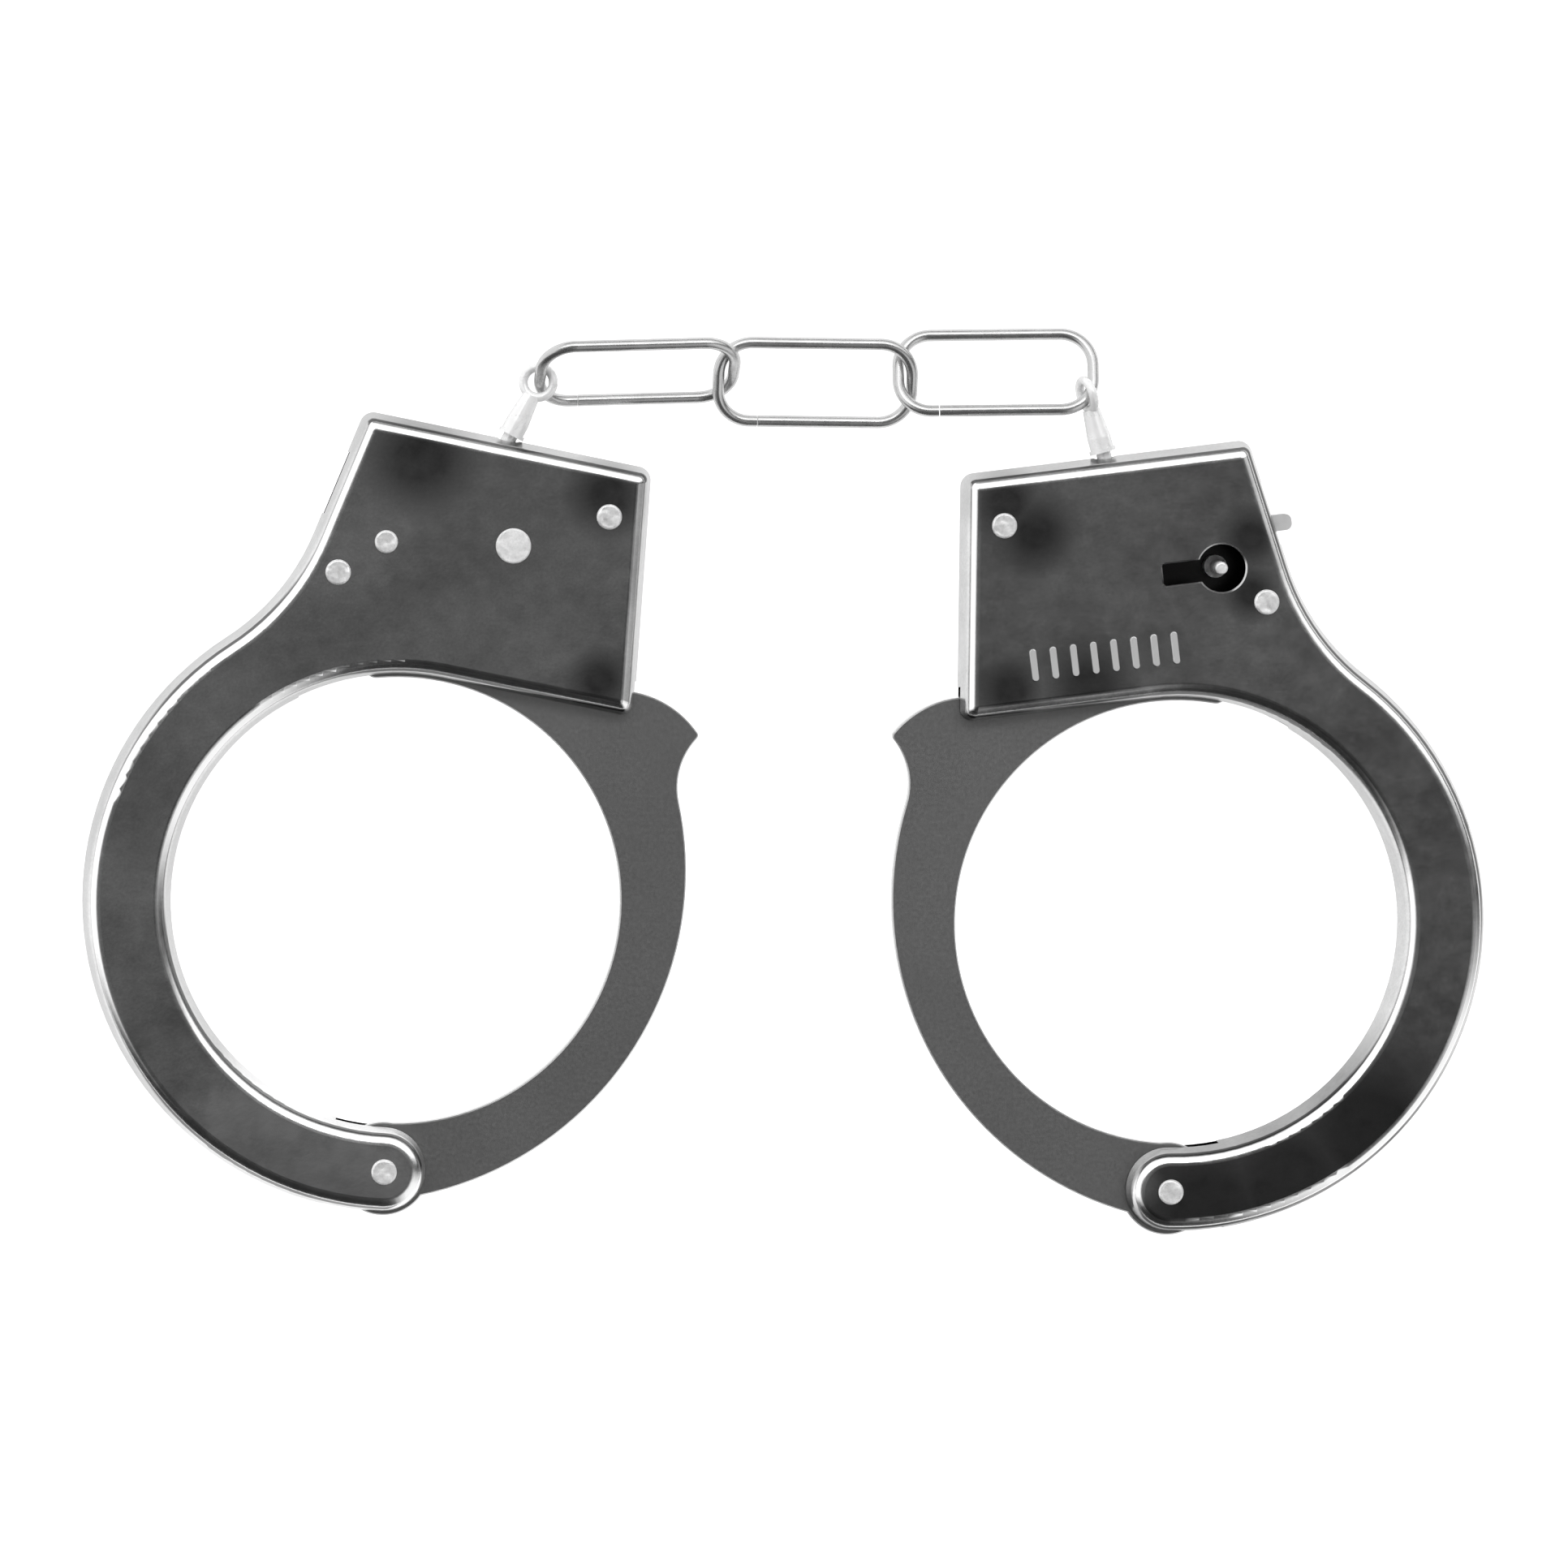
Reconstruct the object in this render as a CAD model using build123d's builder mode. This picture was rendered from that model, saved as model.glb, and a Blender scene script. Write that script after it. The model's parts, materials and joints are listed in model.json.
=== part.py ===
"""A pair of light sheet-steel handcuffs, laid flat with the chain drawn out between them.

Units are millimetres. World frame: origin at the centre of the footprint on the table top,
+X along the pair from the left cuff to the right cuff, +Y towards the chain, +Z up.

Each cuff is drawn once in its own frame and placed twice. In the cuff frame the wrist ring is
centred on the origin, +X (u) runs along the straight top edge of the lock case, +Y (v) points
from the ring to the lock case, and +Z (w) points out of the keyhole side. w = 0 is the plane
where the two stamped shells meet, and where the flat jaw swings.
"""
from build123d import *
import math
import os

# ---------------------------------------------------------------- driving dimensions
RING_INNER_R = 27.6          # wrist opening of the fixed bow
RING_OUTER_R = 38.4
HALF_THICKNESS = 4.8         # depth of one stamped shell
SHEET = 0.8                  # shell sheet thickness
ROLL_R = 1.6                 # rolled edge between the flat face and the side wall
WALL_DRAFT = 10.0            # degrees, lean of the drawn side walls
HEAD_PROUD = 0.4             # rivet heads standing above the shell faces
MID_PLANE_Z = HALF_THICKNESS + HEAD_PROUD

CASE_TOP_V = 58.0            # straight top edge of the lock case
CASE_TOP_LEFT_U = -20.0
CASE_TOP_RIGHT_U = 15.8
CASE_LOW_LEFT_U = -24.0
CASE_NECK = (18.4, 44.75)    # where the straight right side starts to curve into the bow
CASE_CORNER_R = 1.7
NECK_R = 28.0                # concave sweep from the case into the bow

JAW_TILT = 8.6               # degrees between the case's top edge and the jaw's own axis
JAW_PIVOT_RADIUS = 33.0      # ring centre to jaw pivot
JAW_THICKNESS = 2.0
JAW_INNER_R = 27.4
JAW_TOOTH_R = 66.0           # ratchet tip circle about the jaw pivot
TOOTH_PITCH = 2.25           # degrees about the jaw pivot
TOOTH_COUNT = 10
TOOTH_DEPTH = 1.2
JAW_TIP_ANGLE = 5.0          # degrees right of the jaw's own axis
JAW_HUB_R = 5.7
JAW_BELLY_R = 40.5           # outside curve of the jaw, and its centre in the jaw frame
JAW_BELLY_CENTRE = (5.2, 36.2)
JAW_NOTCH_ANGLE = 165.0      # where the belly turns into the finger notch
JAW_EAR_ROOT_ANGLE = -24.6   # end of the tooth circle, where the finger ear begins
JAW_EAR_CROWN = (66.75, -28.85)  # radius and angle of a point half way along the ear
JAW_EAR_TIP = (65.75, -33.2)
JAW_EAR_TIP_R = 0.6
JAW_EAR_ROOT_R = 3.0
JAW_TIP_CORNER_R = 1.4
JAW_LONG_EDGE = 12.0         # edges at least this long are broken
JAW_EDGE_BREAK = 0.15
BOW_END_R = (RING_OUTER_R - RING_INNER_R) / 2

RIVET_SHANK_R = 1.1
RIVET_SHOULDER_R = 1.9
RIVET_HEAD_R = 1.55
RUNNING_FIT = 0.05           # radial play of a part that turns on a pin
HEAD_ROUND = 0.3

SLOT_HALF = 1.3              # half height of the slots that the jaw passes through
JAW_SLOT_INNER_R = 57.5      # the jaw's slot in the case, about the jaw pivot
JAW_SLOT_GAP = 1.3
JAW_SLOT_LEFT = -35.0        # degrees from the jaw's own axis
JAW_SLOT_RIGHT = 13.0
BOW_END_SLOT_R = 8.5
LEVER_SLOT_U = 18.0
LEVER_SLOT_DEPTH = 5.0
LEVER_SLOT_V = (44.7, 52.6)

CORNER_RIVET = (-15.8, 51.3)
NECK_RIVET = (15.2, 38.1)
PAWL_STUD = (-5.06, 45.5)
KEY_POST = (10.2, 42.9)
KEYHOLE_R = 2.95
KEYHOLE_SLOT_REACH = 7.3     # from the post to the blind end of the slot
KEYHOLE_SLOT_H = 2.7
KEYHOLE_SLOT_CORNER_R = 0.3
KEYHOLE_CHAMFER = 0.2

BAR_ROW_CENTRE = (-5.4, 33.9)  # plain raised bars on the keyhole side
BAR_COUNT = 8
BAR_SPACING = 2.5
BAR_LENGTH = 4.0
BAR_WIDTH = 0.9
BAR_HEIGHT = 0.25
BAR_TAPER = 20.0

STUD_HEAD_R = 2.15
STUD_SEAT_R = 2.4
STUD_JOURNAL_R = 1.5
STUD_TOP_GAP = 0.3
KEY_HEAD_R = 1.4
KEY_TENON_R = 0.8
KEY_COLLAR_R = 1.4
KEY_COLLAR_H = 2.6
KEY_POST_R = 0.8
KEY_POST_RECESS = 0.3        # tip of the key post below the front face
SPACER_R = 3.0

PAWL_THICKNESS = 2.0
PAWL_HUB_R = 3.6
NOSE_ANGLE = 3.0             # nose corner, degrees right of the jaw's own axis
NOSE_CLEARANCE = 0.15        # nose above the tooth tips, half way through a click
NOSE_TO_TOOTH = 0.1          # degrees from the nose corner to the next locking face
NOSE_FLAT = 0.25             # degrees
NOSE_SPREAD = 2.0            # degrees
NOSE_HEIGHT = 3.0
TOOTH_TIP_FLAT = 0.15        # degrees
LEVER_V = 47.4
LEVER_WIDTH = 2.0
LEVER_TIP_R = 0.8
RIGHT_LEVER_END = 19.9       # stands proud of the case's side wall
LEFT_LEVER_END = 17.3        # ends inside the wall, reached through the slot

SPRING_WIRE_R = 0.25
SPRING_COIL_R = 2.3
SPRING_PITCH = 0.6
SPRING_TURNS = 2.9
SPRING_BOTTOM = 1.35
SPRING_START_ANGLE = 95.0    # degrees about the stud, from +u
SPRING_LEVER_LEG = 12.0
SPRING_HOOK = 1.6
SPRING_RIVET_LEG = 13.5

SWIVEL_U = -2.1              # swivel hole along the case's top edge
SWIVEL_HOLE_R = 1.3
EYE_HEIGHT = 7.9             # swivel eye centre above the case's top edge
EYE_R = 1.85
EYE_WIRE_R = 0.56
SWIVEL_POST_R = 1.45
SWIVEL_NECK_R = 1.05         # where the post runs into the ring
SWIVEL_SHANK_R = 0.9
SWIVEL_COLLAR_R = 1.65
SWIVEL_HEAD_R = 1.9
SWIVEL_HEAD_TOP = -1.7       # all heights above the case's top edge
SWIVEL_HEAD_BOTTOM = -2.5
SWIVEL_COLLAR_BOTTOM = 0.6
SWIVEL_COLLAR_TOP = 1.05
SWIVEL_POST_TOP = 2.5        # end of the straight part of the post

LINK_LENGTH = 25.39          # outside sizes of one chain link
LINK_WIDTH = 11.34
LINK_WIRE_R = 0.72
LINK_CORNER_R = 4.0          # to the wire's centreline
LINK_GAP = 0.12              # butt joint in one long side
LINK_GAP_X = -7.0

# ring centres on the table, and the turn of each cuff about the vertical
RIGHT_CENTRE = (48.025, -17.20)
RIGHT_TURN = 7.0
LEFT_CENTRE = (-48.025, -14.30)
LEFT_TURN = -11.5
LEFT_SWIVEL_LEAN = 27.5      # degrees from +Y towards +X
RIGHT_SWIVEL_LEAN = -16.0
LEFT_EYE_TURN = 102.9         # turn of the eye about its own post
RIGHT_EYE_TURN = -17.7

# middle of each link, then its turn about Z, its rise towards +X and its roll, in degrees
LINK_PLACES = {
    "chain_link_1": ((-18.64, 50.41, 5.26), 1.55, -5.20, 47.4),
    "chain_link_2": ((3.39, 49.13, 2.94), -0.65, -2.44, 13.5),
    "chain_link_3": ((25.61, 50.43, 3.27), 0.83, 4.02, -21.3),
}

EPS = 0.01


def polar(centre, radius, degrees):
    """Point at an angle measured from +Y, positive towards +X."""
    angle = math.radians(degrees)
    return (centre[0] + radius * math.sin(angle), centre[1] + radius * math.cos(angle))


# the jaw's own axis, from its pivot through the ring centre, leans JAW_TILT from +v
JAW_PIVOT = polar((0, 0), JAW_PIVOT_RADIUS, JAW_TILT + 180)
JAW_PLACE = Location((JAW_PIVOT[0], JAW_PIVOT[1], 0), (0, 0, -JAW_TILT))


# ---------------------------------------------------------------- stamped shells
def case_outline():
    """Plan outline of a shell: lock case, bow and rounded bow end, as one face."""
    pivot_angle = -90 - JAW_TILT
    bow_angle = 90 - pivot_angle
    with BuildSketch() as outline:
        with BuildLine():
            outer = CenterArc((0, 0), RING_OUTER_R, pivot_angle, bow_angle)
            inner = CenterArc((0, 0), RING_INNER_R, pivot_angle, bow_angle)
            Line(outer @ 0, inner @ 0)
            Line(outer @ 1, inner @ 1)
        make_face()
        with Locations(JAW_PIVOT):
            Circle(BOW_END_R)
        lean = (CASE_NECK[0] - CASE_TOP_RIGHT_U) / (CASE_TOP_V - CASE_NECK[1])
        neck_u = CASE_NECK[0] + (CASE_NECK[1] - RING_INNER_R) * lean
        with BuildLine():
            Polyline(
                (CASE_LOW_LEFT_U, RING_INNER_R),
                (CASE_TOP_LEFT_U, CASE_TOP_V),
                (CASE_TOP_RIGHT_U, CASE_TOP_V),
                (neck_u, RING_INNER_R),
                (0, RING_INNER_R),
                close=True,
            )
        make_face()
        side_meets_bow = outline.vertices().sort_by_distance((neck_u, RING_INNER_R, 0))
        fillet(side_meets_bow[:1], NECK_R)
        case_corners = (
            (CASE_LOW_LEFT_U, RING_INNER_R),
            (CASE_TOP_LEFT_U, CASE_TOP_V),
            (CASE_TOP_RIGHT_U, CASE_TOP_V),
        )
        corners = [outline.vertices().sort_by_distance((*corner, 0))[0] for corner in case_corners]
        fillet(corners, CASE_CORNER_R)
    return outline.sketch


def stamped_blank(outline):
    """One half shell, open at w = 0, with drafted walls and a rolled edge."""
    hollow_depth = HALF_THICKNESS - SHEET
    with BuildPart() as blank:
        with BuildSketch():
            add(outline)
        extrude(amount=HALF_THICKNESS, taper=WALL_DRAFT)
        fillet(blank.faces().sort_by(Axis.Z)[-1].edges(), ROLL_R)
    with BuildPart() as hollow:
        with BuildSketch():
            add(outline)
            offset(amount=-SHEET)
        extrude(amount=hollow_depth, taper=WALL_DRAFT)
        fillet(hollow.faces().sort_by(Axis.Z)[-1].edges(), ROLL_R - SHEET)
    return blank.part, hollow.part


def annular_sector(centre, inner_r, outer_r, from_angle, to_angle):
    """Flat sector between two radii, with angles measured as in polar()."""
    with BuildSketch() as sector:
        with BuildLine():
            start = 90 - from_angle
            sweep_angle = from_angle - to_angle
            outer = CenterArc(centre, outer_r, start, sweep_angle)
            inner = CenterArc(centre, inner_r, start, sweep_angle)
            Line(outer @ 0, inner @ 0)
            Line(outer @ 1, inner @ 1)
        make_face()
    return sector.sketch


def passage_cutter():
    """Everything that the shells' side walls leave open at the middle plane."""
    jaw_slot = annular_sector(
        JAW_PIVOT, JAW_SLOT_INNER_R, JAW_TOOTH_R + JAW_SLOT_GAP,
        JAW_SLOT_LEFT + JAW_TILT, JAW_SLOT_RIGHT + JAW_TILT)
    with BuildPart() as cutter:
        with BuildSketch():
            add(jaw_slot)
            with Locations(JAW_PIVOT):
                Circle(BOW_END_SLOT_R)
            with Locations((LEVER_SLOT_U, (LEVER_SLOT_V[0] + LEVER_SLOT_V[1]) / 2)):
                Rectangle(LEVER_SLOT_DEPTH, LEVER_SLOT_V[1] - LEVER_SLOT_V[0])
        extrude(amount=SLOT_HALF, both=True)
        with BuildSketch(Plane((SWIVEL_U, CASE_TOP_V, 0), z_dir=(0, 1, 0))):
            Circle(SWIVEL_HOLE_R)
        extrude(amount=2 * SHEET, both=True)
    return cutter.part


def keyhole_sketch():
    """Round hole with one slot towards -u."""
    slot_middle = KEY_POST[0] - KEYHOLE_SLOT_REACH / 2
    with BuildSketch() as keyhole:
        with Locations(KEY_POST):
            Circle(KEYHOLE_R)
        with Locations((slot_middle, KEY_POST[1])):
            Rectangle(KEYHOLE_SLOT_REACH, KEYHOLE_SLOT_H)
        blind_end = keyhole.vertices().sort_by(Axis.X)[:2]
        fillet(blind_end, KEYHOLE_SLOT_CORNER_R)
    return keyhole.sketch


def front_shell(blank, hollow, cutter):
    """Keyhole side of the case, with a row of plain raised bars."""
    with BuildPart() as shell:
        add(blank)
        add(hollow, mode=Mode.SUBTRACT)
        add(cutter, mode=Mode.SUBTRACT)
        with BuildSketch(Plane.XY.offset(HALF_THICKNESS - SHEET)):
            add(keyhole_sketch())
            with Locations(CORNER_RIVET, NECK_RIVET, JAW_PIVOT):
                Circle(RIVET_SHANK_R + RUNNING_FIT)
        extrude(amount=2 * SHEET, mode=Mode.SUBTRACT)
        hole_left = KEY_POST[0] - KEYHOLE_SLOT_REACH - EPS
        hole_right = KEY_POST[0] + KEYHOLE_R + EPS
        rim = shell.edges().group_by(Axis.Z)[-1].filter_by(
            lambda edge: hole_left < edge.center().X < hole_right
            and abs(edge.center().Y - KEY_POST[1]) < KEYHOLE_R)
        chamfer(rim, KEYHOLE_CHAMFER)
        with BuildSketch(Plane.XY.offset(HALF_THICKNESS)):
            with Locations(BAR_ROW_CENTRE):
                with GridLocations(BAR_SPACING, 0, BAR_COUNT, 1):
                    SlotOverall(BAR_LENGTH, BAR_WIDTH, rotation=90)
        extrude(amount=BAR_HEIGHT, taper=BAR_TAPER)
    return shell


def back_shell(blank, hollow, cutter):
    """Plain side of the case, which carries the pawl stud and the key post."""
    with BuildPart() as shell:
        add(blank)
        add(hollow, mode=Mode.SUBTRACT)
        add(cutter, mode=Mode.SUBTRACT)
        with BuildSketch(Plane.XY.offset(HALF_THICKNESS - SHEET)):
            with Locations(CORNER_RIVET, NECK_RIVET, JAW_PIVOT, PAWL_STUD):
                Circle(RIVET_SHANK_R + RUNNING_FIT)
            with Locations(KEY_POST):
                Circle(KEY_TENON_R + RUNNING_FIT)
        extrude(amount=2 * SHEET, mode=Mode.SUBTRACT)
        mirror(about=Plane.XY, mode=Mode.REPLACE)
    return shell


# ---------------------------------------------------------------- rivets, stud and post
def turned_pin(place, sections, rounded):
    """Stack of coaxial cylinders, each (radius, bottom, top), with its heads' outer rims rounded."""
    with BuildPart() as pin:
        for radius, bottom, top in sections:
            with BuildSketch(Plane((place[0], place[1], bottom))):
                Circle(radius)
            extrude(amount=top - bottom)
        outermost = pin.edges().filter_by(GeomType.CIRCLE).group_by(Axis.Z)
        if "low" in rounded:
            fillet(outermost[0], HEAD_ROUND)
        outermost = pin.edges().filter_by(GeomType.CIRCLE).group_by(Axis.Z)
        if "high" in rounded:
            fillet(outermost[-1], HEAD_ROUND)
    return pin


def through_rivet(place):
    """Shouldered rivet that holds the two shells apart, headed on both faces."""
    inside = HALF_THICKNESS - SHEET
    top = HALF_THICKNESS + HEAD_PROUD
    sections = [
        (RIVET_HEAD_R, -top, -HALF_THICKNESS),
        (RIVET_SHANK_R, -HALF_THICKNESS, -inside),
        (RIVET_SHOULDER_R, -inside, inside),
        (RIVET_SHANK_R, inside, HALF_THICKNESS),
        (RIVET_HEAD_R, HALF_THICKNESS, top),
    ]
    return turned_pin(place, sections, ("low", "high"))


def pawl_stud():
    """Stud riveted into the back shell only; the pawl turns on it."""
    inside = HALF_THICKNESS - SHEET
    seat = -PAWL_THICKNESS / 2 - RUNNING_FIT
    sections = [
        (STUD_HEAD_R, -HALF_THICKNESS - HEAD_PROUD, -HALF_THICKNESS),
        (RIVET_SHANK_R, -HALF_THICKNESS, -inside),
        (STUD_SEAT_R, -inside, seat),
        (STUD_JOURNAL_R, seat, inside - STUD_TOP_GAP),
    ]
    return turned_pin(PAWL_STUD, sections, ("low",))


def key_post():
    """Post that a hollow key slides over, riveted into the back shell."""
    inside = HALF_THICKNESS - SHEET
    sections = [
        (KEY_HEAD_R, -HALF_THICKNESS - HEAD_PROUD, -HALF_THICKNESS),
        (KEY_TENON_R, -HALF_THICKNESS, -inside),
        (KEY_COLLAR_R, -inside, -inside + KEY_COLLAR_H),
        (KEY_POST_R, -inside + KEY_COLLAR_H, HALF_THICKNESS - KEY_POST_RECESS),
    ]
    return turned_pin(KEY_POST, sections, ("low", "high"))


def pivot_spacers():
    """Two loose washers that keep the jaw at the middle plane."""
    near = JAW_THICKNESS / 2 + RUNNING_FIT
    far = HALF_THICKNESS - SHEET - RUNNING_FIT
    with BuildPart() as spacers:
        for bottom in (-far, near):
            with BuildSketch(Plane((JAW_PIVOT[0], JAW_PIVOT[1], bottom))):
                Circle(SPACER_R)
                Circle(RIVET_SHOULDER_R + RUNNING_FIT, mode=Mode.SUBTRACT)
            extrude(amount=far - near)
    return spacers


# ---------------------------------------------------------------- jaw, drawn about its pivot
def jaw_inner_distance(angle):
    """Distance from the pivot to the jaw's inner edge, along a ray at this angle."""
    along = JAW_PIVOT_RADIUS * math.cos(math.radians(angle))
    return along + math.sqrt(along ** 2 - JAW_PIVOT_RADIUS ** 2 + JAW_INNER_R ** 2)


def jaw_profile():
    """Plan of the jaw before its teeth are cut."""
    centre = (0, JAW_PIVOT_RADIUS)
    tip_inner = polar((0, 0), jaw_inner_distance(JAW_TIP_ANGLE), JAW_TIP_ANGLE)
    tip_outer = polar((0, 0), JAW_TOOTH_R, JAW_TIP_ANGLE)
    ear_root = polar((0, 0), JAW_TOOTH_R, JAW_EAR_ROOT_ANGLE)
    ear_crown = polar((0, 0), *JAW_EAR_CROWN)
    ear_tip = polar((0, 0), *JAW_EAR_TIP)
    inner_end = math.degrees(math.atan2(tip_inner[1] - centre[1], tip_inner[0]))
    belly_drop = math.sqrt(JAW_BELLY_R ** 2 - JAW_BELLY_CENTRE[0] ** 2)
    belly_start = 180 + math.degrees(math.atan2(belly_drop, JAW_BELLY_CENTRE[0]))
    with BuildSketch() as profile:
        with BuildLine():
            inner = CenterArc(centre, JAW_INNER_R, 270, inner_end - 270)
            Line(inner @ 1, tip_outer)
            CenterArc((0, 0), JAW_TOOTH_R, 90 - JAW_TIP_ANGLE, JAW_TIP_ANGLE - JAW_EAR_ROOT_ANGLE)
            ThreePointArc(ear_root, ear_crown, ear_tip)
            belly = CenterArc(JAW_BELLY_CENTRE, JAW_BELLY_R, belly_start, JAW_NOTCH_ANGLE - belly_start)
            TangentArc([belly @ 1, ear_tip], tangent=belly % 1)
            Line(belly @ 0, inner @ 0)
        make_face()
        Circle(JAW_HUB_R)
        for corner, radius in ((ear_tip, JAW_EAR_TIP_R), (ear_root, JAW_EAR_ROOT_R)):
            fillet(profile.vertices().sort_by_distance((*corner, 0))[:1], radius)
        tip_corners = profile.vertices().filter_by(
            lambda v: v.X > 0 and v.Y > JAW_PIVOT_RADIUS + JAW_INNER_R / 2)
        fillet(tip_corners, JAW_TIP_CORNER_R)
    return profile.sketch


def jaw():
    """Flat toothed jaw, drawn with its pivot at the origin and its own axis along +Y."""
    first_face = NOSE_ANGLE + NOSE_TO_TOOTH
    root_r = JAW_TOOTH_R - TOOTH_DEPTH
    outside_r = JAW_TOOTH_R + TOOTH_DEPTH
    with BuildPart() as plate:
        with BuildSketch(Plane.XY.offset(-JAW_THICKNESS / 2)):
            add(jaw_profile())
            Circle(RIVET_SHOULDER_R + RUNNING_FIT, mode=Mode.SUBTRACT)
            for index in range(TOOTH_COUNT):
                face = first_face - index * TOOTH_PITCH
                far_tip = face - TOOTH_PITCH + TOOTH_TIP_FLAT
                with BuildLine():
                    Polyline(
                        polar((0, 0), root_r, face),
                        polar((0, 0), outside_r, face),
                        polar((0, 0), outside_r, far_tip),
                        polar((0, 0), JAW_TOOTH_R, far_tip),
                        close=True,
                    )
                make_face(mode=Mode.SUBTRACT)
        extrude(amount=JAW_THICKNESS)
        long_edges = plate.edges().filter_by(
            lambda e: e.length > JAW_LONG_EDGE and abs(abs(e.center().Z) - JAW_THICKNESS / 2) < EPS)
        chamfer(long_edges, JAW_EDGE_BREAK)
    return plate


# ---------------------------------------------------------------- pawl and its spring
def pawl(lever_end):
    """Locking pawl: hub, nose above the jaw's teeth, and a release lever that ends at lever_end."""
    nose_angle = NOSE_ANGLE + JAW_TILT
    nose_r = JAW_TOOTH_R + NOSE_CLEARANCE
    corner = polar(JAW_PIVOT, nose_r, nose_angle)
    toe = polar(JAW_PIVOT, nose_r, nose_angle - NOSE_FLAT)
    heel = polar(JAW_PIVOT, nose_r + NOSE_HEIGHT, nose_angle - NOSE_FLAT - NOSE_SPREAD)
    back = polar(JAW_PIVOT, nose_r + NOSE_HEIGHT, nose_angle + NOSE_FLAT)
    hub_side = PAWL_HUB_R * math.sqrt(0.5)
    lever_root = (lever_end + PAWL_STUD[0]) / 2
    with BuildPart() as plate:
        with BuildSketch(Plane.XY.offset(-PAWL_THICKNESS / 2)) as outline:
            with Locations(PAWL_STUD):
                Circle(PAWL_HUB_R)
            with BuildLine():
                Polyline(
                    corner,
                    toe,
                    heel,
                    (PAWL_STUD[0] - hub_side, PAWL_STUD[1] - hub_side),
                    (PAWL_STUD[0] + hub_side, PAWL_STUD[1] + hub_side),
                    back,
                    close=True,
                )
            make_face()
            with Locations((lever_root, LEVER_V)):
                Rectangle(lever_end - PAWL_STUD[0], LEVER_WIDTH)
            fillet(outline.vertices().sort_by(Axis.X)[-2:], LEVER_TIP_R)
            with Locations(PAWL_STUD):
                Circle(STUD_JOURNAL_R + RUNNING_FIT, mode=Mode.SUBTRACT)
        extrude(amount=PAWL_THICKNESS)
    return plate


def pawl_spring():
    """Torsion spring round the stud: one leg behind the corner rivet, one hooked over the lever."""
    turn_height = SPRING_PITCH * SPRING_TURNS
    seat = Location((PAWL_STUD[0], PAWL_STUD[1], SPRING_BOTTOM), (0, 0, SPRING_START_ANGLE))
    with BuildPart() as spring:
        with BuildLine(Plane(seat)):
            coil = Helix(SPRING_PITCH, turn_height, SPRING_COIL_R)
        with BuildSketch(Plane(coil @ 0, z_dir=coil % 0)):
            Circle(SPRING_WIRE_R)
        sweep(path=coil)
        with BuildLine():
            start = coil @ 0
            away = (coil % 0) * -1
            flat_away = Vector(away.X, away.Y, 0).normalized()
            knee = start + flat_away * SPRING_LEVER_LEG
            lever_leg = Polyline(start, knee, knee - Vector(0, 0, SPRING_HOOK))
        with BuildSketch(Plane(start, z_dir=flat_away)):
            Circle(SPRING_WIRE_R)
        sweep(path=lever_leg, transition=Transition.ROUND)
        with BuildLine():
            finish = coil @ 1
            ahead = Vector((coil % 1).X, (coil % 1).Y, 0).normalized()
            rivet_leg = Line(finish, finish + ahead * SPRING_RIVET_LEG)
        with BuildSketch(Plane(finish, z_dir=ahead)):
            Circle(SPRING_WIRE_R)
        sweep(path=rivet_leg)
    return spring


# ---------------------------------------------------------------- swivel and chain
def swivel_eye():
    """Turned shank, collar and post with a ring on top; its axis is +Z, the case's edge at z = 0."""
    ring_foot = EYE_HEIGHT - EYE_R
    with BuildPart() as swivel:
        with BuildSketch(Plane.XZ):
            with BuildLine():
                Polyline(
                    (0, SWIVEL_HEAD_BOTTOM),
                    (SWIVEL_HEAD_R, SWIVEL_HEAD_BOTTOM),
                    (SWIVEL_HEAD_R, SWIVEL_HEAD_TOP),
                    (SWIVEL_SHANK_R, SWIVEL_HEAD_TOP),
                    (SWIVEL_SHANK_R, SWIVEL_COLLAR_BOTTOM),
                    (SWIVEL_COLLAR_R, SWIVEL_COLLAR_BOTTOM),
                    (SWIVEL_COLLAR_R, SWIVEL_COLLAR_TOP),
                    (SWIVEL_POST_R, SWIVEL_COLLAR_TOP),
                    (SWIVEL_POST_R, SWIVEL_POST_TOP),
                    (SWIVEL_NECK_R, ring_foot),
                    (0, ring_foot),
                    close=True,
                )
            make_face()
        revolve(axis=Axis.Z)
        with Locations(Location((0, 0, EYE_HEIGHT), (0, 90, 0))):
            Torus(EYE_R, EYE_WIRE_R)
    return swivel


def chain_link():
    """Bent wire link with a butt joint, in the XY plane, long axis along X."""
    half_x = LINK_LENGTH / 2 - LINK_WIRE_R
    half_y = LINK_WIDTH / 2 - LINK_WIRE_R
    straight_x = half_x - LINK_CORNER_R
    straight_y = half_y - LINK_CORNER_R
    with BuildPart() as link:
        with BuildLine() as wire:
            Line((LINK_GAP_X + LINK_GAP / 2, -half_y), (straight_x, -half_y))
            CenterArc((straight_x, -straight_y), LINK_CORNER_R, -90, 90)
            Line((half_x, -straight_y), (half_x, straight_y))
            CenterArc((straight_x, straight_y), LINK_CORNER_R, 0, 90)
            Line((straight_x, half_y), (-straight_x, half_y))
            CenterArc((-straight_x, straight_y), LINK_CORNER_R, 90, 90)
            Line((-half_x, straight_y), (-half_x, -straight_y))
            CenterArc((-straight_x, -straight_y), LINK_CORNER_R, 180, 90)
            Line((-straight_x, -half_y), (LINK_GAP_X - LINK_GAP / 2, -half_y))
        with BuildSketch(Plane((LINK_GAP_X + LINK_GAP / 2, -half_y, 0), z_dir=(1, 0, 0))):
            Circle(LINK_WIRE_R)
        sweep(path=wire.wire())
    return link


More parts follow.
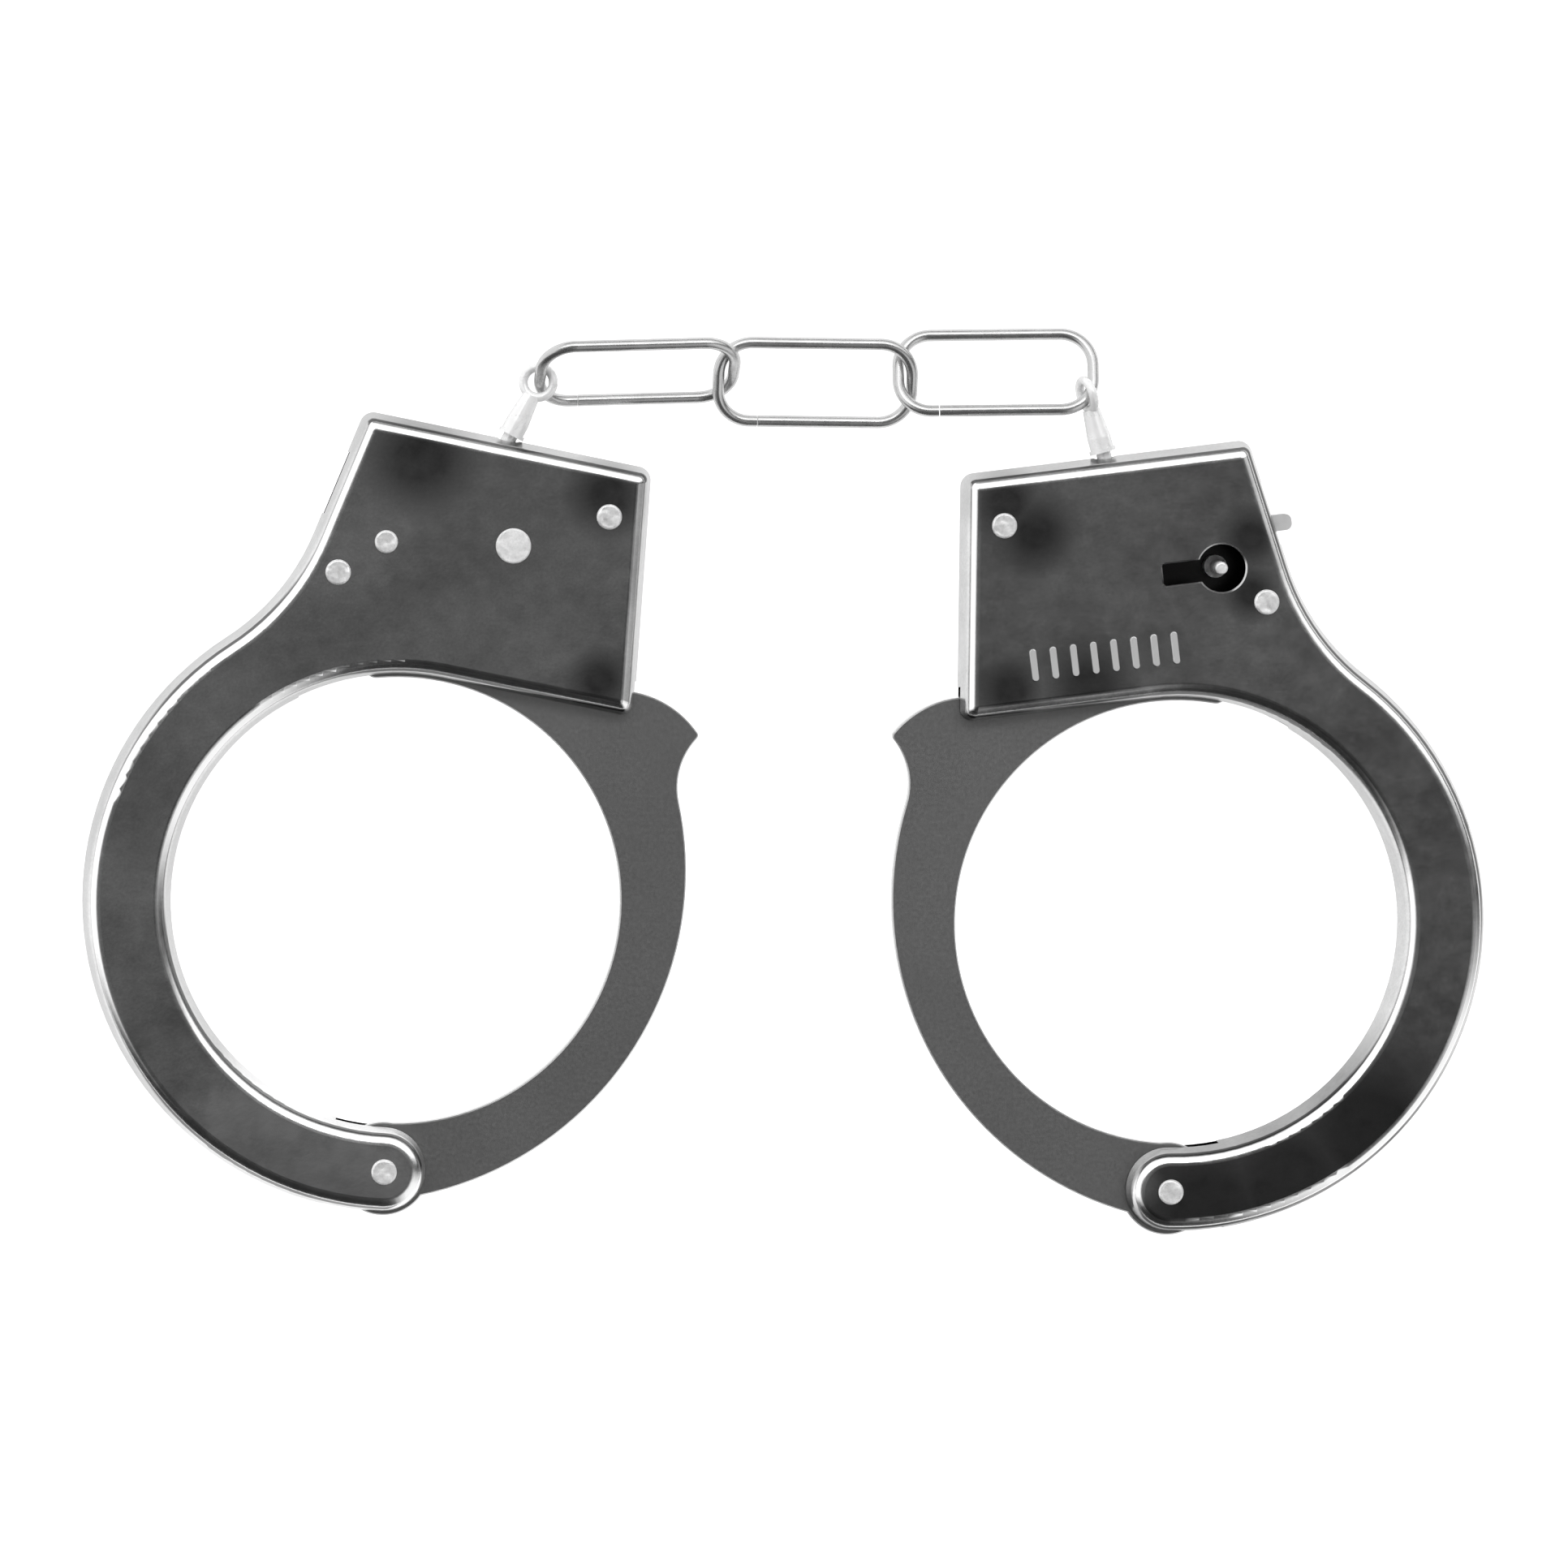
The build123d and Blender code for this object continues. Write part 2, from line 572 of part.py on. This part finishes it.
# ---------------------------------------------------------------- places on the table
RIGHT_CUFF_PLACE = Location((*RIGHT_CENTRE, MID_PLANE_Z), (0, 0, RIGHT_TURN))
LEFT_CUFF_PLACE = Location((*LEFT_CENTRE, MID_PLANE_Z), (0, 0, LEFT_TURN)) * Location((0, 0, 0), (0, 180, 0))


def swivel_plane(cuff_place, lean, eye_turn):
    """Plane at the swivel hole whose normal is the post and whose X is the ring's own axis."""
    base = (cuff_place * Location((SWIVEL_U, CASE_TOP_V, 0))).position
    post = Vector(math.sin(math.radians(lean)), math.cos(math.radians(lean)), 0)
    level = Vector(post.Y, -post.X, 0)
    turn = math.radians(eye_turn)
    ring_axis = level * math.cos(turn) + Vector(0, 0, 1) * math.sin(turn)
    return Plane(origin=base, x_dir=ring_axis, z_dir=post)


LEFT_SWIVEL_PLANE = swivel_plane(LEFT_CUFF_PLACE, LEFT_SWIVEL_LEAN, LEFT_EYE_TURN)
RIGHT_SWIVEL_PLANE = swivel_plane(RIGHT_CUFF_PLACE, RIGHT_SWIVEL_LEAN, RIGHT_EYE_TURN)


def link_location(middle, turn, rise, roll):
    """A link's place: rolled about its long axis, then raised towards +X, then turned about Z."""
    return (
        Location(middle)
        * Location((0, 0, 0), (0, 0, turn))
        * Location((0, 0, 0), (0, -rise, 0))
        * Location((0, 0, 0), (roll, 0, 0))
    )


def build_pieces():
    """Every piece of the pair, as {node name: placed part}."""
    outline = case_outline()
    blank, hollow = stamped_blank(outline)
    cutter = passage_cutter()
    same_on_both = {
        "front_shell": front_shell(blank, hollow, cutter).part,
        "back_shell": back_shell(blank, hollow, cutter).part,
        "jaw": jaw().part.moved(JAW_PLACE),
        "jaw_pivot_pin": through_rivet(JAW_PIVOT).part,
        "pivot_spacers": pivot_spacers().part,
        "neck_rivet": through_rivet(NECK_RIVET).part,
        "corner_rivet": through_rivet(CORNER_RIVET).part,
        "pawl_stud": pawl_stud().part,
        "pawl_spring": pawl_spring().part,
        "key_post": key_post().part,
    }
    pieces = {}
    for side, place in (("left", LEFT_CUFF_PLACE), ("right", RIGHT_CUFF_PLACE)):
        for name, piece in same_on_both.items():
            pieces[f"{side}_{name}"] = piece.moved(place)
    pieces["left_pawl"] = pawl(LEFT_LEVER_END).part.moved(LEFT_CUFF_PLACE)
    pieces["right_pawl"] = pawl(RIGHT_LEVER_END).part.moved(RIGHT_CUFF_PLACE)
    eye = swivel_eye().part
    pieces["left_swivel_eye"] = eye.moved(LEFT_SWIVEL_PLANE.location)
    pieces["right_swivel_eye"] = eye.moved(RIGHT_SWIVEL_PLANE.location)
    link = chain_link().part
    for name, (middle, turn, rise, roll) in LINK_PLACES.items():
        pieces[name] = link.moved(link_location(middle, turn, rise, roll))
    return pieces


os.makedirs("parts", exist_ok=True)
for name, piece in build_pieces().items():
    piece.label = name
    export_step(piece, f"parts/{name}.step")
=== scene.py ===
"""Looks of the handcuffs: plated sheet steel on a white table under soft studio light."""
import json
import math

import bpy
from mathutils import Matrix, Vector

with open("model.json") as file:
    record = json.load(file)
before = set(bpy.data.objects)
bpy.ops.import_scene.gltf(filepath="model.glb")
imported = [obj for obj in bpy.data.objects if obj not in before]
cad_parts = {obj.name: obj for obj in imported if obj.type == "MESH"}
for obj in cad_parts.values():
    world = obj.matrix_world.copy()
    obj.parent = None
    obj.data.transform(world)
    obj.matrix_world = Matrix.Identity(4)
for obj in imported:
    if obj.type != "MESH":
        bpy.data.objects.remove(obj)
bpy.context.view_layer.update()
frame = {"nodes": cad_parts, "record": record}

# heights on the cases, metres
SHELL_MID_Z = 0.0052    # middle plane of both cases
SHELL_HALF = 0.0048     # from the middle plane to the flat faces
MARK_FOOT = 0.00002     # above the flat faces, where the raised marks begin to shine
MARK_SHINE = 0.0002     # above the flat faces, where they shine fully
INNER_FACE = (0.0007, 0.0005)   # below the flat faces, where the look of the inside ends

# patches of the flats where the sheet is a little hollow and gets painted shade: x, y, radius in metres
PAINTED_SHADE_HOLLOWS = (
    (-0.0454, 0.0400, 0.0085),
    (-0.0225, 0.0355, 0.0060),
    (-0.0235, 0.0130, 0.0045),
    (0.0262, 0.0345, 0.0055),
    (0.0300, 0.0310, 0.0060),
    (0.0270, 0.0115, 0.0050),
    (0.0365, 0.0120, 0.0070),
    (0.0566, 0.0235, 0.0040),
    (0.0565, 0.0305, 0.0045),
    (0.0520, -0.0530, 0.0150),
    (0.0620, -0.0500, 0.0150),
    (0.0720, -0.0430, 0.0150),
)
# patches where it is a little domed and gets a painted highlight, twice as pale
PAINTED_HIGHLIGHT_DOMES = (
    (-0.0640, -0.0440, 0.0130),
    (-0.0540, -0.0490, 0.0110),
    (0.0435, -0.0495, 0.0030),
)
SPOT_CORE = 0.3    # part of a patch's radius within which it has its full strength

# where the shells' painted shade and painted highlights change, by the height of the surface's normal: 1 on
# level faces, 0 on walls
WALL_END = (0.34, 0.42)
CROWN_HIGHLIGHT_START = (0.66, 0.74)
FLAT_START = (0.68, 0.73)
LEVEL_FACE = (0.85, 0.95)
CROWN_HIGHLIGHT_END = (0.95, 0.985)
# how squarely a bend faces the light at -X, or the weaker bank, before it stays bright and gets no painted
# shade
FACING_LEFT = (0.62, 0.75)
FACING_BANK = (0.60, 0.72)

# edges of the light banks, as parts of the light's direction, whose length is 1
RIGHT_BANK = (0.788, -0.616)    # heading of the weaker bank, and of the bends that it brightens
RIGHT_BANK_NEAR = (0.3, 0.45)
RIGHT_BANK_ASIDE = (0.25, 0.75)
BACK_BANK_NEAR = (0.1, 0.3)
BACK_BANK_BOTTOM = (0.26, 0.32)
BACK_BANK_TOP = (0.84, 0.93)
LEFT_BANK_NEAR = (-0.45, -0.3)
LEFT_BANK_END = (-0.42, -0.22)
LEFT_BANK_TOP = (0.76, 0.88)
STRIP_NEAR = (0.25, 0.35)
STRIP_BOTTOM = (0.74, 0.78)
STRIP_TOP = (0.88, 0.92)
OVERHEAD_EDGE = (-0.16, -0.05)
# how bright they are
MAIN_BANK_LEVEL = 1.1
STRIP_LEVEL = 4.0
OVERHEAD_LEVELS = (0.015, 0.15)

NOISE_RANGE = (0.3, 0.7)    # values that a noise texture mostly stays between
TINY = 0.001                # keeps a division away from zero


# ---------------------------------------------------------------- node helpers
def new_material(name):
    """An empty node material with its Principled shader wired to the output."""
    material = bpy.data.materials.new(name)
    material.use_nodes = True
    tree = material.node_tree
    tree.nodes.clear()
    output = tree.nodes.new("ShaderNodeOutputMaterial")
    shader = tree.nodes.new("ShaderNodeBsdfPrincipled")
    tree.links.new(shader.outputs["BSDF"], output.inputs["Surface"])
    return material, tree, shader


def coordinates(tree, kind):
    """One of the texture coordinates: Object (metres), Normal or Generated."""
    return tree.nodes.new("ShaderNodeTexCoord").outputs[kind]


def split_coordinates(tree, kind):
    """The x, y and z of a texture coordinate."""
    split = tree.nodes.new("ShaderNodeSeparateXYZ")
    tree.links.new(coordinates(tree, kind), split.inputs[0])
    return split.outputs


def noise(tree, scale, detail, roughness):
    """Noise over the object, with scale waves to the metre."""
    node = tree.nodes.new("ShaderNodeTexNoise")
    node.inputs["Scale"].default_value = scale
    node.inputs["Detail"].default_value = detail
    node.inputs["Roughness"].default_value = roughness
    tree.links.new(coordinates(tree, "Object"), node.inputs["Vector"])
    return node.outputs["Fac"]


def ramp(tree, value, low, high, start=0.0, end=1.0):
    """Maps value from low..high to start..end, and holds it there beyond."""
    node = tree.nodes.new("ShaderNodeMapRange")
    node.inputs["From Min"].default_value = low
    node.inputs["From Max"].default_value = high
    node.inputs["To Min"].default_value = start
    node.inputs["To Max"].default_value = end
    tree.links.new(value, node.inputs["Value"])
    return node.outputs["Result"]


def fall(tree, value, low, high):
    """1 up to low, falling to 0 at high."""
    return ramp(tree, value, low, high, start=1.0, end=0.0)


def mix(tree, share, without, within):
    """The value without where the share is 0, and within where it is 1."""
    return ramp(tree, share, 0.0, 1.0, without, within)


def vary(tree, texture, low, high):
    """low to high as a noise texture varies."""
    return ramp(tree, texture, *NOISE_RANGE, low, high)


def math_node(tree, operation, *values):
    """A math operation on numbers or sockets."""
    node = tree.nodes.new("ShaderNodeMath")
    node.operation = operation
    for socket, value in zip(node.inputs, values):
        if isinstance(value, float):
            socket.default_value = value
        else:
            tree.links.new(value, socket)
    return node.outputs[0]


def product(tree, first, *others):
    for other in others:
        first = math_node(tree, "MULTIPLY", first, other)
    return first


def largest(tree, first, *others):
    for other in others:
        first = math_node(tree, "MAXIMUM", first, other)
    return first


def ahead_of(tree, x, y, heading):
    """Part of the vector (x, y) along a horizontal heading."""
    across = math_node(tree, "MULTIPLY", x, heading[0])
    return math_node(tree, "ADD", across, math_node(tree, "MULTIPLY", y, heading[1]))


def grey(tree, value):
    node = tree.nodes.new("ShaderNodeCombineColor")
    for name in ("Red", "Green", "Blue"):
        tree.links.new(value, node.inputs[name])
    return node.outputs["Color"]


def bump(tree, shader, height, distance, strength, normal=None):
    """Tilts the shader's normal by a height texture, on top of an earlier bump's normal."""
    node = tree.nodes.new("ShaderNodeBump")
    node.inputs["Distance"].default_value = distance
    node.inputs["Strength"].default_value = strength
    tree.links.new(height, node.inputs["Height"])
    if normal is not None:
        tree.links.new(normal, node.inputs["Normal"])
    tree.links.new(node.outputs["Normal"], shader.inputs["Normal"])
    return node.outputs["Normal"]


# ---------------------------------------------------------------- parts of the shells' look
def levelness(tree):
    """Height of the surface's normal: 1 on level faces, 0 on walls."""
    return math_node(tree, "ABSOLUTE", split_coordinates(tree, "Normal")[2])


def off_middle(tree):
    """Distance from the middle plane of the cases, in metres."""
    z = split_coordinates(tree, "Object")[2]
    return math_node(tree, "ABSOLUTE", math_node(tree, "SUBTRACT", z, SHELL_MID_Z))


def bend_shade(tree, depth):
    """1 on flats and walls, falling to depth across the steeper part of a bend.

    Bends that face -X or the weaker bank stay bright. The dark band is painted shade, standing in for a gap
    in the reflected light.
    """
    x, y, _ = split_coordinates(tree, "Normal")
    height = levelness(tree)
    wall = fall(tree, height, *WALL_END)
    flat = ramp(tree, height, *FLAT_START)
    facing_left = ramp(tree, math_node(tree, "MULTIPLY", x, -1.0), *FACING_LEFT)
    facing_bank = ramp(tree, ahead_of(tree, x, y, RIGHT_BANK), *FACING_BANK)
    return mix(tree, largest(tree, wall, flat, facing_left, facing_bank), depth, 1.0)


def painted_crown_highlight(tree):
    """Painted highlight: 1 on the upper part of a bend, next to the flat, where a bright band of reflected
    light is painted; 0 elsewhere.
    """
    height = levelness(tree)
    return product(tree, ramp(tree, height, *CROWN_HIGHLIGHT_START), fall(tree, height, *CROWN_HIGHLIGHT_END))


def near_spots(tree, spots):
    """0 away from the spots, up to 1 in the middle of one; each spot is (x, y, radius) in metres."""
    x, y, _ = split_coordinates(tree, "Object")
    shares = []
    for spot_x, spot_y, radius in spots:
        across = math_node(tree, "SUBTRACT", x, spot_x)
        along = math_node(tree, "SUBTRACT", y, spot_y)
        squares = [math_node(tree, "POWER", side_shade_factor, 2.0) for side_shade_factor in (across, along)]
        distance = math_node(tree, "SQRT", math_node(tree, "ADD", *squares))
        shares.append(fall(tree, distance, SPOT_CORE * radius, radius))
    return largest(tree, *shares)


def raised_marks(tree):
    """1 on whatever stands above the shells' flat faces, 0 elsewhere."""
    return ramp(tree, off_middle(tree), SHELL_HALF + MARK_FOOT, SHELL_HALF + MARK_SHINE)


def inside_shade(tree, depth):
    """Painted shade: 1 outside, falling to depth on the level inner faces of the shells, where little light
    reaches.
    """
    lower, upper = INNER_FACE
    below_sheet = fall(tree, off_middle(tree), SHELL_HALF - lower, SHELL_HALF - upper)
    level = ramp(tree, levelness(tree), *LEVEL_FACE)
    return mix(tree, product(tree, below_sheet, level), 1.0, depth)


# ---------------------------------------------------------------- materials
def shell_plate():
    """Dark nickel over stamped sheet, with fine grain and slow dents.

    Bends get painted shade on their steep part and a painted highlight on their crown. Hollows get painted
    shade, darker than the flats, and domes a painted highlight, paler. Raised marks are worn bright, and
    the inside gets painted shade.
    """
    material, tree, shader = new_material("shell_plate")
    shader.inputs["Specular Tint"].default_value = (0.7, 0.7, 0.7, 1)
    grain = noise(tree, scale=2600.0, detail=3.0, roughness=0.7)
    cloud = noise(tree, scale=420.0, detail=4.0, roughness=0.65)
    dents = noise(tree, scale=55.0, detail=1.0, roughness=0.4)
    # painted shade on the hollows
    painted_hollow_shade = product(tree, near_spots(tree, PAINTED_SHADE_HOLLOWS), vary(tree, cloud, low=0.7, high=1.0))
    tone = product(
        tree,
        vary(tree, cloud, low=0.6, high=0.68),
        vary(tree, grain, low=0.92, high=1.05),
        vary(tree, dents, low=0.85, high=1.05),
        # painted shade: dark band across the steep part of each bend
        bend_shade(tree, depth=0.22),
        # painted shade: hollows darkened to a fifth of the tone
        mix(tree, painted_hollow_shade, without=1.0, within=0.2),
        # painted highlight: domes twice as bright
        mix(tree, near_spots(tree, PAINTED_HIGHLIGHT_DOMES), without=1.0, within=2.0),
        # painted shade on the shells' level inner faces
        inside_shade(tree, depth=0.12),
    )
    palest = 0.97
    # tone of the real wear on the raised marks and of the painted highlight on the bends' crowns
    wear_and_highlight_tone = 0.95
    marks = raised_marks(tree)
    # real wear brightens the raised marks; a painted highlight brightens the bends' crowns
    wear_and_painted_highlight = math_node(tree, "MULTIPLY", largest(tree, marks, painted_crown_highlight(tree)), wear_and_highlight_tone)
    tone = largest(tree, math_node(tree, "MINIMUM", tone, palest), wear_and_painted_highlight)
    tree.links.new(grey(tree, tone), shader.inputs["Base Color"])
    tree.links.new(mix(tree, marks, without=1.0, within=0.5), shader.inputs["Metallic"])
    tree.links.new(vary(tree, cloud, low=0.19, high=0.23), shader.inputs["Roughness"])
    slow = bump(tree, shader, dents, distance=0.0012, strength=0.35)
    bump(tree, shader, cloud, distance=0.00003, strength=0.4, normal=slow)
    return material


def jaw_plate():
    """Satin flat plate with a fine rolled grain."""
    material, tree, shader = new_material("jaw_plate")
    shader.inputs["Metallic"].default_value = 1.0
    grain = noise(tree, scale=2400.0, detail=3.0, roughness=0.6)
    cloud = noise(tree, scale=70.0, detail=2.0, roughness=0.5)
    tone = product(tree, vary(tree, cloud, low=0.47, high=0.53), vary(tree, grain, low=0.97, high=1.03))
    tree.links.new(grey(tree, tone), shader.inputs["Base Color"])
    tree.links.new(vary(tree, grain, low=0.28, high=0.32), shader.inputs["Roughness"])
    bump(tree, shader, grain, distance=0.00001, strength=0.3)
    return material


def rivet_steel(name, metallic):
    """Soft pale steel, flattened by hammer blows."""
    material, tree, shader = new_material(name)
    shader.inputs["Metallic"].default_value = metallic
    dents = noise(tree, scale=700.0, detail=1.0, roughness=0.5)
    grain = noise(tree, scale=4000.0, detail=2.0, roughness=0.6)
    tree.links.new(grey(tree, vary(tree, grain, low=0.78, high=0.95)), shader.inputs["Base Color"])
    tree.links.new(vary(tree, dents, low=0.25, high=0.45), shader.inputs["Roughness"])
    bump(tree, shader, dents, distance=0.0005, strength=0.8)
    return material


def drawn_steel(name, metallic, tone, roughness, side_shade_factor=1.0):
    """Plated wire or turned steel with fine drawing marks, and painted shade that dims what faces sideways
    by the last argument's factor.

    tone and roughness are (lowest, highest).
    """
    material, tree, shader = new_material(name)
    shader.inputs["Metallic"].default_value = metallic
    marks = noise(tree, scale=900.0, detail=2.0, roughness=0.5)
    cloud = noise(tree, scale=300.0, detail=2.0, roughness=0.6)
    # painted shade: darker where the surface faces sideways
    painted_side_shade = ramp(tree, levelness(tree), low=0.1, high=0.6, start=side_shade_factor)
    tree.links.new(grey(tree, product(tree, vary(tree, cloud, *tone), painted_side_shade)), shader.inputs["Base Color"])
    tree.links.new(vary(tree, marks, *roughness), shader.inputs["Roughness"])
    bump(tree, shader, marks, distance=0.00001, strength=0.1)
    return material


MATERIALS = {
    "shell_plate": shell_plate(),
    "jaw_plate": jaw_plate(),
    "rivet_steel": rivet_steel("rivet_steel", metallic=0.3),
    "swivel_steel": drawn_steel("swivel_steel", 0.15, tone=(0.88, 0.96), roughness=(0.25, 0.35), side_shade_factor=0.6),
    "chain_wire": drawn_steel("chain_wire", 0.85, tone=(0.5, 0.58), roughness=(0.24, 0.3), side_shade_factor=0.85),
    "inner_steel": drawn_steel("inner_steel", 0.4, tone=(0.75, 0.9), roughness=(0.3, 0.4), side_shade_factor=0.4),
    "spring_wire": drawn_steel("spring_wire", 1.0, tone=(0.4, 0.5), roughness=(0.3, 0.4)),
}
STUD_MATERIAL = rivet_steel("stud_steel", metallic=0.0)

for entry in frame["record"]["subparts"]:
    node = frame["nodes"][entry["node"]]
    is_stud = entry["node"].endswith("pawl_stud")
    node.data.materials.clear()
    node.data.materials.append(STUD_MATERIAL if is_stud else MATERIALS[entry["material_slot"]])


# ---------------------------------------------------------------- table, light and camera
def table():
    """Large matt white table top just under the object, which glows like a light table."""
    half = 3.0
    corners = [(-half, -half, 0), (half, -half, 0), (half, half, 0), (-half, half, 0)]
    mesh = bpy.data.meshes.new("table")
    mesh.from_pydata(corners, [], [(0, 1, 2, 3)])
    floor = bpy.data.objects.new("table", mesh)
    bpy.context.scene.collection.objects.link(floor)
    material, _, shader = new_material("table_white")
    shader.inputs["Base Color"].default_value = (0.4, 0.4, 0.4, 1)
    shader.inputs["Roughness"].default_value = 0.9
    shader.inputs["Emission Color"].default_value = (1, 1, 1, 1)
    shader.inputs["Emission Strength"].default_value = 1.0
    mesh.materials.append(material)


def studio_world():
    """Dark overhead, bright banks of light at +Y and -X, and a weaker one between +X and -Y.

    The bank at +Y stops short of the horizon, which leaves a thin dark line in rolled edges.
    It has a brighter strip near its top.
    """
    world = bpy.data.worlds.new("studio")
    bpy.context.scene.world = world
    world.use_nodes = True
    tree = world.node_tree
    tree.nodes.clear()
    output = tree.nodes.new("ShaderNodeOutputWorld")
    background = tree.nodes.new("ShaderNodeBackground")
    tree.links.new(background.outputs[0], output.inputs[0])
    x, y, z = split_coordinates(tree, "Generated")

    back_height = product(tree, ramp(tree, z, *BACK_BANK_BOTTOM), fall(tree, z, *BACK_BANK_TOP))
    back_bank = product(tree, ramp(tree, y, *BACK_BANK_NEAR), back_height)
    left_side = product(tree, fall(tree, x, *LEFT_BANK_NEAR), ramp(tree, y, *LEFT_BANK_END))
    left_bank = product(tree, left_side, fall(tree, z, *LEFT_BANK_TOP))
    main_banks = product(tree, largest(tree, back_bank, left_bank), MAIN_BANK_LEVEL)
    strip_height = product(tree, ramp(tree, z, *STRIP_BOTTOM), fall(tree, z, *STRIP_TOP))
    strip = product(tree, ramp(tree, y, *STRIP_NEAR), strip_height, STRIP_LEVEL)

    ahead = ahead_of(tree, x, y, RIGHT_BANK)
    aside = math_node(tree, "ABSOLUTE", ahead_of(tree, x, y, (-RIGHT_BANK[1], RIGHT_BANK[0])))
    turned_aside = math_node(tree, "DIVIDE", aside, largest(tree, ahead, TINY))
    right_side = fall(tree, turned_aside, *RIGHT_BANK_ASIDE)
    right_bank = product(tree, ramp(tree, ahead, *RIGHT_BANK_NEAR), right_side)

    half_x = math_node(tree, "MULTIPLY", x, 0.5)
    towards_back_left = math_node(tree, "SUBTRACT", y, half_x)
    overhead = ramp(tree, towards_back_left, *OVERHEAD_EDGE, *OVERHEAD_LEVELS)
    level = math_node(tree, "ADD", largest(tree, main_banks, strip, right_bank), overhead)
    tree.links.new(grey(tree, level), background.inputs["Color"])


def camera():
    """Nearly straight down from far away, leaning a little towards -X and +Y."""
    width = 0.1926    # metres across the frame at the target
    lens = 200.0
    sensor = 36.0
    lean_left = math.radians(4.5)
    lean_back = math.radians(3.5)
    roll = math.radians(0.2)
    target = Vector((-0.00047, -0.0001, SHELL_MID_Z))

    away = Vector((-math.tan(lean_left), math.tan(lean_back), 1)).normalized()
    level_right = Vector((0, 1, 0)).cross(away).normalized()
    level_up = away.cross(level_right)
    right = level_right * math.cos(roll) + level_up * math.sin(roll)
    up = level_up * math.cos(roll) - level_right * math.sin(roll)
    turn = Matrix((right, up, away)).transposed()

    data = bpy.data.cameras.new("camera")
    data.lens = lens
    data.sensor_width = sensor
    data.clip_end = 20.0
    eye = bpy.data.objects.new("camera", data)
    eye.matrix_world = Matrix.Translation(target + away * (width * lens / sensor)) @ turn.to_4x4()
    bpy.context.scene.collection.objects.link(eye)
    bpy.context.scene.camera = eye


table()
studio_world()
camera()
bpy.context.scene.view_settings.view_transform = "Standard"
